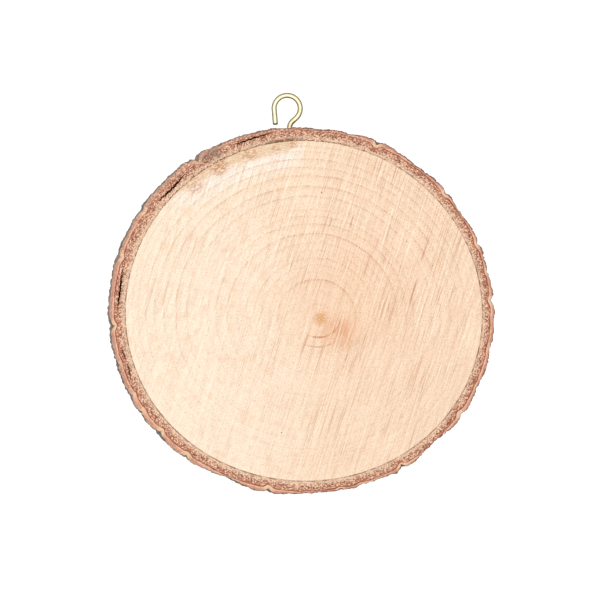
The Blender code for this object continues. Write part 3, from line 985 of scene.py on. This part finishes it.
def grid_object(name, loops, attributes, closed_across):
    """A mesh of rings of points, joined to each other; each attribute has a value for each point."""
    count = len(loops[0])
    points = [point for loop in loops for point in loop]
    faces = []
    rows = len(loops) if closed_across else len(loops) - 1
    for row in range(rows):
        here, there = row * count, (row + 1) % len(loops) * count
        for index in range(count):
            beside = (index + 1) % count
            faces.append((here + index, there + index, there + beside, here + beside))
    mesh = bpy.data.meshes.new(name)
    mesh.from_pydata(points, [], faces)
    for label, (kind, values) in attributes.items():
        attribute = mesh.attributes.new(label, kind, "POINT")
        for slot, value in zip(attribute.data, values):
            if kind == "FLOAT_VECTOR":
                slot.vector = value
            else:
                slot.value = value
    return new_object(name, mesh)


def wood_object():
    """A closed disc: rings of points out from the pith on each face, and the wall between."""
    loops, ages, rims = [], [], []
    angles = [360.0 * index / WOOD_STATIONS for index in range(WOOD_STATIONS)]
    edge = [heading_of(angle) * wood_radius(angle) for angle in angles]
    shares = [(step + 1) / WOOD_RINGS for step in range(WOOD_RINGS)]

    def add_loop(share, level, shrink=0.0):
        drop = (FRONT - level) / THICKNESS
        shift = slant_shift(drop) - slant_shift(0.0)
        loop = []
        for point in edge:
            spoke = point - PITH
            reach = spoke.length * share - shrink
            loop.append(PITH + shift + spoke.normalized() * reach + Vector((0.0, 0.0, level)))
            ages.append(share)
            rims.append(spoke.length * (1.0 - share) + shrink)
        loops.append(loop)

    for share in shares[:-1]:
        add_loop(share, FRONT)
    add_loop(1.0, FRONT, WOOD_EDGE)
    add_loop(1.0, FRONT - WOOD_EDGE)
    add_loop(1.0, BACK + WOOD_EDGE)
    add_loop(1.0, BACK, WOOD_EDGE)
    for share in reversed(shares[:-1]):
        add_loop(share, BACK)
    attributes = {"age": ("FLOAT", ages), "rim": ("FLOAT", rims)}
    made = grid_object("sawn_wood_base", loops, attributes, closed_across=False)
    close_ends(made, len(loops[0]), len(loops))
    return made


def close_ends(made, count, loops):
    """Closes the two open middles of a disc with a fan round a point at the pith."""
    bm = bmesh.new()
    bm.from_mesh(made.data)
    bm.verts.ensure_lookup_table()
    age = bm.verts.layers.float["age"]
    rim = bm.verts.layers.float["rim"]
    rings = [[bm.verts[first + index] for index in range(count)] for first in (0, (loops - 1) * count)]
    for ring in rings:
        middle = bm.verts.new(sum((vertex.co for vertex in ring), Vector()) / count)
        middle[age] = 0.0
        middle[rim] = ring[0][rim]
        for index in range(count):
            bm.faces.new((middle, ring[index], ring[(index + 1) % count]))
    bmesh.ops.recalc_face_normals(bm, faces=bm.faces)
    bm.to_mesh(made.data)
    bm.free()


def front_row_radii(wood, skin, slit, half_width):
    """Where the rows of the sawn front face of the bark lie, and how deep in a slit each one is."""
    reach = min(0.5 * MM, 0.35 * (skin - slit), 0.35 * (slit - wood))
    lip = min(half_width + 0.05 * MM, 0.8 * reach)
    inside = 0.7 * half_width
    rows = [(wood + (slit - reach - wood) * step / INNER_ROWS, 0.0) for step in range(INNER_ROWS)]
    rows += [(slit - reach, 0.0), (slit - lip, 0.0), (slit - half_width, 0.15)]
    rows += [(slit - inside, 1.0), (slit + inside, 1.0)]
    rows += [(slit + half_width, 0.15), (slit + lip, 0.0), (slit + reach, 0.0)]
    start = slit + reach
    rows += [(start + (skin - start) * step / OUTER_ROWS, 0.0) for step in range(1, OUTER_ROWS)]
    return rows


def bark_object():
    """The closed ring of bark: sawn front with its slits, skin, sawn back and the wall at the wood."""
    columns = []
    for index in range(BARK_STATIONS):
        columns.append(bark_column(360.0 * index / BARK_STATIONS))
    rows = len(columns[0])
    loops = [[column[row][0] for column in columns] for row in range(rows)]

    def gather(kind, key):
        return kind, [column[row][1][key] for row in range(rows) for column in columns]

    numbers = ("skin", "from_wood", "to_skin", "past_cork", "slit_shade", "sawn", "split")
    attributes = {key: gather("FLOAT", key) for key in numbers}
    attributes["outward"] = gather("FLOAT_VECTOR", "outward")
    return grid_object("bark_ring_base", loops, attributes, closed_across=True)


def bark_column(angle):
    """The points of one cross-section of the bark, each with its attributes."""
    heading = heading_of(angle)
    front_shift = slant_shift(0.0)
    wood = wood_radius(angle)
    cork = cork_radius(angle)
    skin = skin_radius(angle) + front_shift.dot(heading)
    slit, half_width, depth = slit_line(angle)
    split = split_share(angle)
    column = []

    def add(radius, level, sawn, outer_radius, slit_shade=0.0):
        drop = (FRONT - level) / THICKNESS
        share = min(1.0, max(0.0, (radius - wood) / (skin - wood)))
        shift = slant_shift(drop) - front_shift
        sideways = front_shift - heading * front_shift.dot(heading)
        point = heading * radius + shift + sideways * share + Vector((0.0, 0.0, level))
        gap = max(0.0, outer_radius - radius)
        facts = {
            "skin": max(0.0, 1.0 - gap / SKIN_FADE) if sawn else 1.0,
            "from_wood": radius - wood,
            "to_skin": gap,
            "past_cork": radius - cork,
            "slit_shade": slit_shade,
            "sawn": sawn,
            "split": split,
            "outward": heading,
        }
        column.append((point, facts))

    for radius, deep in front_row_radii(wood, skin, slit, half_width):
        # Deep in a slit, a point is pushed down and also gets painted shade.
        add(radius, FRONT - depth * deep, 1.0, skin, deep if half_width > 0.0 else 0.0)
    add(skin - EDGE_ROUNDING, FRONT - 0.02 * MM, 1.0, skin)
    add(skin - 0.3 * EDGE_ROUNDING, FRONT - 0.3 * EDGE_ROUNDING, 0.5, skin)
    for step in range(SIDE_ROWS):
        share = (step + 0.5) / SIDE_ROWS
        drop = share + 0.03 * math.sin(2.0 * math.pi * share)
        radius = skin_radius(angle, drop) + front_shift.dot(heading)
        level = FRONT - EDGE_ROUNDING - (THICKNESS - 2.0 * EDGE_ROUNDING) * drop
        add(radius, level, 0.0, radius)
    back_skin = skin_radius(angle, 1.0) + front_shift.dot(heading)
    add(back_skin - 0.3 * EDGE_ROUNDING, BACK + 0.3 * EDGE_ROUNDING, -0.5, back_skin)
    add(back_skin - EDGE_ROUNDING, BACK, -1.0, back_skin)
    for step in range(1, BACK_ROWS + 1):
        radius = back_skin + (wood - back_skin) * step / BACK_ROWS
        add(radius, BACK, -1.0, back_skin)
    add(wood, 0.5 * (BACK + FRONT), 0.0, wood + 1.0)
    return column


def outside_of_bark(pen, half_sawn):
    """Chooses the skin: points that no saw cut, leaving out the wall at the wood."""
    uncut = pen.calc("LESS_THAN", pen.calc("ABSOLUTE", pen.stored("sawn")), half_sawn)
    return pen.product(uncut, pen.calc("LESS_THAN", pen.stored("to_skin"), 0.5))


def relief_tree():
    """Geometry nodes that give the bark its bulges, cracks, scales and scalloped sawn edge."""
    numbers = ["Plate bulge", "Crack depth", "Scale height", "Scallop", "Cut grain"]
    numbers += ["Entry radius", "Seed"]
    inputs = {"Float": numbers, "Vector": ["Hook entry"], "Material": ["Sawn bark", "Bark skin"]}
    tree, pen, given, result = new_geometry_group("Bark relief", inputs)
    position = pen.node("GeometryNodeInputPosition").outputs[0]
    place = pen.vector("ADD", position, pen.joined(given["Seed"], 0.0, 0.0))
    upright = pen.vector("MULTIPLY", place, (1.0, 1.0, 0.3))
    ridged = pen.vector("MULTIPLY", place, (1.0, 1.0, 0.1))

    def swing(where, size, height, detail=2.0):
        centred = pen.calc("MULTIPLY_ADD", pen.noise(where, size, detail), 2.0, -1.0)
        return pen.product(centred, height)

    height_share = pen.over(pen.parts(position)[2], THICKNESS)
    middle = pen.calc("SINE", pen.product(height_share, math.pi))
    skin = pen.stored("skin")
    bulge = pen.product(swing(upright, 8.0 * MM, given["Plate bulge"]), middle)
    ridge = pen.calc("ABSOLUTE", pen.minus(pen.noise(upright, 4.5 * MM, 2.0), 0.5))
    patchy = pen.fade(pen.noise(place, 9.0 * MM, 1.0), 0.4, 0.6)
    crack = pen.product(pen.fade(ridge, 0.0, 0.045, 1.0, 0.0), patchy)
    crack = pen.product(crack, skin)
    off_centre = pen.vector("DISTANCE", position, given["Hook entry"])
    off_centre = pen.over(off_centre, given["Entry radius"])
    entry = pen.fade(off_centre, 0.4, 1.2, 1.0, 0.0)
    crack = pen.calc("MAXIMUM", crack, entry)
    drop = pen.product(crack, given["Crack depth"])
    scales = swing(upright, 1.0 * MM, given["Scale height"], 3.0)
    scallops = swing(ridged, 2.1 * MM, given["Scallop"], 3.0)
    out = pen.minus(pen.total(pen.total(bulge, scales), scallops), drop)
    out = pen.product(out, skin)
    outward = pen.scaled(pen.stored("outward", "FLOAT_VECTOR"), out)
    grain = swing(place, 0.9 * MM, given["Cut grain"], 2.0)
    grain = pen.minus(grain, given["Cut grain"])
    grain = pen.product(grain, pen.stored("sawn"))
    offset = pen.vector("ADD", outward, pen.joined(0.0, 0.0, grain))

    moved = pen.node("GeometryNodeSetPosition", {"Geometry": given["Geometry"], "Offset": offset})
    cut = pen.realized(pen.store(moved.outputs[0], "crack", crack), given["Sawn bark"])
    pen.feed(result[0], pen.painted(cut, given["Bark skin"], outside_of_bark(pen, 0.3)))
    return tree


def finished_mesh(base, tree, name, inputs):
    """Runs the tree on the base object and gives back its result as a plain mesh object."""
    modifier = base.modifiers.new(tree.name, "NODES")
    modifier.node_group = tree
    for item in tree.interface.items_tree:
        if item.in_out == "INPUT" and item.name in inputs:
            modifier[item.identifier] = inputs[item.name]
    bpy.context.view_layer.update()
    graph = bpy.context.evaluated_depsgraph_get()
    mesh = bpy.data.meshes.new_from_object(base.evaluated_get(graph))
    mesh.name = name
    if not mesh.polygons:
        raise RuntimeError(f"{name} came out with no faces")
    made = new_object(name, mesh)
    bpy.data.objects.remove(base)
    return made


def lenticel_tree():
    """Geometry nodes that scatter corky warts over the skin, each lying along the rim."""
    inputs = {"Float": ["Density", "Length"], "Int": ["Seed"], "Material": ["Cork"]}
    tree, pen, given, result = new_geometry_group("Lenticels", inputs)
    inputs = {"Mesh": given["Geometry"], "Selection": outside_of_bark(pen, 0.01)}
    inputs.update({"Density": given["Density"], "Seed": given["Seed"]})
    spread = pen.node("GeometryNodeDistributePointsOnFaces", inputs)
    axes = {0: spread.outputs["Normal"], 1: (0.0, 0.0, 1.0)}
    turned = pen.node("FunctionNodeAxesToRotation", axes, primary_axis="Z", secondary_axis="Y")
    wart = pen.node("GeometryNodeMeshUVSphere", {"Segments": 8, "Rings": 5, "Radius": 0.5})
    size = pen.node("FunctionNodeRandomValue", {2: 0.5, 3: 1.3, 8: given["Seed"]}, data_type="FLOAT")
    length = pen.product(size.outputs[1], given["Length"])
    shape = pen.joined(length, pen.product(length, 0.45), pen.product(length, 0.3))
    inputs = {"Points": spread.outputs["Points"], "Instance": wart.outputs["Mesh"]}
    inputs.update({"Rotation": turned.outputs[0], "Scale": shape})
    placed = pen.node("GeometryNodeInstanceOnPoints", inputs)
    pen.feed(result[0], pen.realized(placed.outputs[0], given["Cork"]))
    return tree


def place_piece(made, node):
    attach(made, "root")
    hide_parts(node)


class SLICE_OT_sawn_wood(bpy.types.Operator):
    """Build the disc of wood, sawn on both faces"""

    bl_idname = "slice.sawn_wood"
    bl_label = "Sawn wood"

    def execute(self, context):
        look = context.scene.slice_wood
        made = wood_object()
        made.name = "sawn_wood"
        made.data.materials.append(sawn_alder_material(look))
        made.data.shade_smooth()
        made.data.set_sharp_from_angle(angle=math.radians(SHARP_ANGLE))
        place_piece(made, "wood_slice")
        return {"FINISHED"}


class SLICE_OT_bark(bpy.types.Operator):
    """Build the ring of bark round the wood"""

    bl_idname = "slice.bark"
    bl_label = "Bark"

    def execute(self, context):
        look = context.scene.slice_bark
        sizes = context.scene.slice_hook
        inputs = {
            "Hook entry": HOOK_ENTRY,
            "Entry radius": 2.0 * sizes.wire_radius,
            "Plate bulge": look.plate_bulge,
            "Crack depth": look.crack_depth,
            "Scale height": look.scale_height,
            "Scallop": look.scallop,
            "Cut grain": look.cut_grain,
            "Seed": look.seed,
            "Sawn bark": sawn_bark_material(look),
            "Bark skin": bark_skin_material(look),
        }
        made = finished_mesh(bark_object(), relief_tree(), "bark_ring", inputs)
        place_piece(made, "wood_slice")
        return {"FINISHED"}


class SLICE_OT_lenticels(bpy.types.Operator):
    """Scatter corky warts over the skin of the bark"""

    bl_idname = "slice.lenticels"
    bl_label = "Lenticels"

    def execute(self, context):
        look = context.scene.slice_lenticels
        base = new_object("lenticels_base", bpy.data.objects["bark_ring"].data.copy())
        inputs = {
            "Density": look.per_square_cm / (10.0 * MM) ** 2,
            "Length": look.length,
            "Seed": look.seed,
            "Cork": lenticel_material(context.scene.slice_bark),
        }
        made = finished_mesh(base, lenticel_tree(), "bark_lenticels", inputs)
        place_piece(made, "wood_slice")
        return {"FINISHED"}


def on_ring(centre, radius, angle):
    return centre + heading_of(angle) * radius


def arc(centre, radius, first, last, step):
    """Points on an arc, both ends included, about step degrees apart."""
    count = max(1, round(abs(last - first) / step))
    return [on_ring(centre, radius, first + (last - first) * i / count) for i in range(count + 1)]


def hook_path(look):
    """The middle of the wire, from its cut end round the ring to the point of the screw."""
    lean = math.radians(LEG_LEAN)
    ring_start = on_ring(RING_CENTRE, look.ring_radius, RING_LEFT)
    down_leg = Vector((math.sin(lean), -math.cos(lean), 0.0))
    path = [ring_start + down_leg * (look.leg_length - step * 0.1 * MM) for step in range(4)]
    path += [ring_start + down_leg * look.leg_length * (1.0 - step / 20) for step in range(2, 20)]
    path += arc(RING_CENTRE, look.ring_radius, RING_LEFT, RING_RIGHT, 3.0)
    turned = math.radians(RING_RIGHT)
    onward = Vector((math.sin(turned), -math.cos(turned), 0.0))
    neck_end = path[-1] + onward * NECK_LENGTH
    bend_centre = neck_end + Vector((-onward.y, onward.x, 0.0)) * NECK_BEND_RADIUS
    path += arc(bend_centre, NECK_BEND_RADIUS, 180.0 + RING_RIGHT, 180.0, 5.0)
    shank_x = bend_centre.x - NECK_BEND_RADIUS
    step = look.thread_pitch / 16
    count = round((THREAD_START_Y - HOOK_LOW.y) / step)
    path.append(Vector((shank_x, 0.5 * (path[-1].y + THREAD_START_Y), RING_CENTRE.z)))
    path += [Vector((shank_x, THREAD_START_Y - i * step, RING_CENTRE.z)) for i in range(count + 1)]
    return path, shank_x


def hook_base(look):
    path, shank_x = hook_path(look)
    curve = bpy.data.curves.new("brass_hook_base", "CURVE")
    curve.dimensions = "3D"
    spline = curve.splines.new("POLY")
    spline.points.add(len(path) - 1)
    for target, point in zip(spline.points, path):
        target.co = (*point, 1.0)
        target.radius = 1.0
    return new_object("brass_hook_base", curve), shank_x


def hook_tree():
    """Geometry nodes that turn the wire's middle line into round wire with a screw thread."""
    inputs = {"Float": ["Wire radius", "Thread pitch", "Shank x"], "Material": ["Brass"]}
    tree, pen, given, result = new_geometry_group("Screw hook", inputs)
    length = pen.node("GeometryNodeSplineParameter").outputs["Length"]
    marked = pen.store(given["Geometry"], "along", length)
    end = pen.fade(length, -0.25 * MM, 0.4 * MM, 0.35, 1.0)
    inputs = {"Resolution": WIRE_SIDES, "Radius": given["Wire radius"]}
    profile = pen.node("GeometryNodeCurvePrimitiveCircle", inputs)
    inputs = {"Curve": marked, "Profile Curve": profile.outputs[0], "Scale": end, "Fill Caps": True}
    wire = pen.node("GeometryNodeCurveToMesh", inputs)
    position = pen.node("GeometryNodeInputPosition").outputs[0]
    x, y, z = pen.parts(position)
    side_x = pen.minus(x, given["Shank x"])
    side_z = pen.minus(z, RING_CENTRE.z)
    down = pen.minus(THREAD_START_Y, y)
    turns = pen.over(pen.calc("ARCTAN2", side_z, side_x), 2.0 * math.pi)
    phase = pen.calc("FRACT", pen.total(pen.over(down, given["Thread pitch"]), turns))
    away = pen.calc("ABSOLUTE", pen.minus(phase, 0.5))
    ridge = pen.fade(away, 0.06, 0.34, 1.0, THREAD_CORE_SHARE)
    share = pen.calc("MAXIMUM", ridge, pen.fade(down, 0.0, given["Thread pitch"], 1.0, 0.0))
    left = pen.minus(THREAD_START_Y - HOOK_LOW.y, down)
    point = pen.calc("SQRT", pen.over(left, THREAD_POINT_LENGTH))
    share = pen.product(share, pen.calc("MAXIMUM", 0.08, pen.calc("MINIMUM", 1.0, point)))
    threaded = pen.joined(
        pen.calc("MULTIPLY_ADD", side_x, share, given["Shank x"]),
        y,
        pen.calc("MULTIPLY_ADD", side_z, share, RING_CENTRE.z),
    )
    inputs = {"Geometry": wire.outputs[0], "Selection": pen.calc("GREATER_THAN", down, 0.0)}
    moved = pen.node("GeometryNodeSetPosition", {**inputs, "Position": threaded})
    pen.feed(result[0], pen.realized(moved.outputs[0], given["Brass"]))
    return tree


class SLICE_OT_hook(bpy.types.Operator):
    """Build the brass screw hook"""

    bl_idname = "slice.hook"
    bl_label = "Screw hook"

    def execute(self, context):
        look = context.scene.slice_hook
        base, shank_x = hook_base(look)
        inputs = {
            "Wire radius": look.wire_radius,
            "Thread pitch": look.thread_pitch,
            "Shank x": shank_x,
            "Brass": brass_material(look),
        }
        made = finished_mesh(base, hook_tree(), "brass_hook", inputs)
        place_piece(made, "screw_hook")
        return {"FINISHED"}


def area_light(name, size, power, location):
    """A square softbox that shines at the middle of the slice."""
    light = bpy.data.lights.new(name, "AREA")
    light.size = size
    light.energy = power
    made = new_object(name, light)
    made.location = location
    made.rotation_euler = (Vector() - Vector(location)).to_track_quat("-Z", "Y").to_euler()
    return made


def floor_material(look):
    """A pale floor that looks white to the camera and mid-grey to the lights and the brass."""
    material, pen, shader = new_material("Pale floor")
    shader.inputs["Base Color"].default_value = (*look.floor, 1.0)
    shader.inputs["Roughness"].default_value = 0.9
    shader.inputs["Emission Color"].default_value = (1.0, 1.0, 1.0, 1.0)
    seen = pen.node("ShaderNodeLightPath").outputs["Is Camera Ray"]
    pen.feed(shader.inputs["Emission Strength"], pen.product(seen, look.floor_glow))
    return material


def sky_world(look):
    """A plain sky, brighter overhead than at the horizon."""
    world = bpy.data.worlds.new("Sky")
    world.use_nodes = True
    pen = Pen(world.node_tree)
    height = pen.parts(pen.node("ShaderNodeTexCoord").outputs["Generated"])[2]
    background = world.node_tree.nodes["Background"]
    background.inputs["Color"].default_value = (1.0, 1.0, 1.0, 1.0)
    pen.feed(background.inputs["Strength"], pen.fade(height, 0.0, 0.5, look.sky_low, look.sky_high))
    return world


class SLICE_OT_stage(bpy.types.Operator):
    """Build the floor, the lights and the camera"""

    bl_idname = "slice.stage"
    bl_label = "Stage"

    def execute(self, context):
        look = context.scene.slice_stage
        scene = context.scene
        scene.view_settings.view_transform = "Standard"
        mesh = bpy.data.meshes.new("floor")
        corners = ((-1, -1), (1, -1), (1, 1), (-1, 1))
        points = [(FLOOR_HALF * x, FLOOR_HALF * y, BACK - FLOOR_GAP) for x, y in corners]
        mesh.from_pydata(points, [], [(0, 1, 2, 3)])
        floor = new_object("floor", mesh)
        mesh.materials.append(floor_material(look))
        scene.world = sky_world(look)
        area_light("Overhead softbox", OVERHEAD_SIZE, look.overhead_power, OVERHEAD_PLACE)
        side = area_light("Side softbox", SIDE_SIZE, look.side_power, SIDE_PLACE)
        side.visible_glossy = False

        camera = bpy.data.cameras.new("Camera")
        camera.lens = camera.sensor_width * look.camera_height / look.view_width
        camera.clip_start = 0.01
        camera.clip_end = 20.0
        eye = new_object("Camera", camera)
        eye.location = (*VIEW_CENTRE, FRONT + look.camera_height)
        scene.camera = eye
        return {"FINISHED"}


class SLICE_PT_panel(bpy.types.Panel):
    """Lists the operators and their settings"""

    bl_idname = "SLICE_PT_panel"
    bl_label = "Wood slice"
    bl_space_type = "VIEW_3D"
    bl_region_type = "UI"
    bl_category = "Wood slice"

    def draw(self, context):
        for operator, settings in STEPS:
            box = self.layout.box()
            box.operator(operator)
            group = getattr(context.scene, settings)
            for name in group.__annotations__:
                box.prop(group, name)


STEPS = (
    ("slice.sawn_wood", "slice_wood"),
    ("slice.bark", "slice_bark"),
    ("slice.lenticels", "slice_lenticels"),
    ("slice.hook", "slice_hook"),
    ("slice.stage", "slice_stage"),
)
SETTINGS = {
    "slice_wood": WoodSettings,
    "slice_bark": BarkSettings,
    "slice_lenticels": LenticelSettings,
    "slice_hook": HookSettings,
    "slice_stage": StageSettings,
}
CLASSES = (
    WoodSettings,
    BarkSettings,
    LenticelSettings,
    HookSettings,
    StageSettings,
    SLICE_OT_sawn_wood,
    SLICE_OT_bark,
    SLICE_OT_lenticels,
    SLICE_OT_hook,
    SLICE_OT_stage,
    SLICE_PT_panel,
)


def register():
    for made in CLASSES:
        bpy.utils.register_class(made)
    for name, group in SETTINGS.items():
        setattr(bpy.types.Scene, name, PointerProperty(type=group))


def unregister():
    for name in SETTINGS:
        delattr(bpy.types.Scene, name)
    for made in reversed(CLASSES):
        bpy.utils.unregister_class(made)


def main():
    register()
    bpy.ops.slice.sawn_wood()
    bpy.ops.slice.bark()
    bpy.ops.slice.lenticels()
    bpy.ops.slice.hook()
    bpy.ops.slice.stage()
    bpy.context.view_layer.update()


if __name__ == "__main__":
    main()
